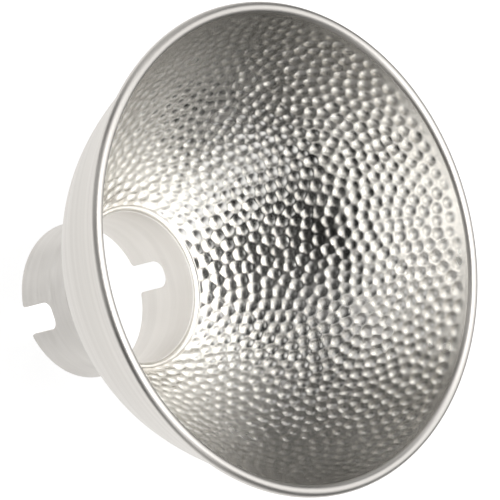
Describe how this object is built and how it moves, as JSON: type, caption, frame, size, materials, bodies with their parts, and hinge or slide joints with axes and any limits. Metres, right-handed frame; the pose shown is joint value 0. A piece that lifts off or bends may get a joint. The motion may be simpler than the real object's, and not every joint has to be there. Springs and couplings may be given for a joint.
{
  "type": "hammered reflector for a flash bulb gun",
  "caption": "Deep spun reflector bowl with a hammered inside, a rolled rim and a short neck tube with two bayonet notches.",
  "frame": {"origin": "centre of the neck's rear end, where the reflector seats on the flash gun", "axes": "+Z along the optical axis, out of the mouth; the two bayonet notches are on the Y axis"},
  "size_m": [0.127, 0.127, 0.0841],
  "materials": {
    "bowl_metal": "hammered and polished inside, satin spun outside",
    "collar_metal": "finely brushed round the axis",
    "wire_metal": "plain drawn wire"
  },
  "bodies": {
    "root": {"reflector_bowl": "bowl_metal", "neck_collar": "collar_metal", "rim_wire": "wire_metal"}
  },
  "joints": []
}
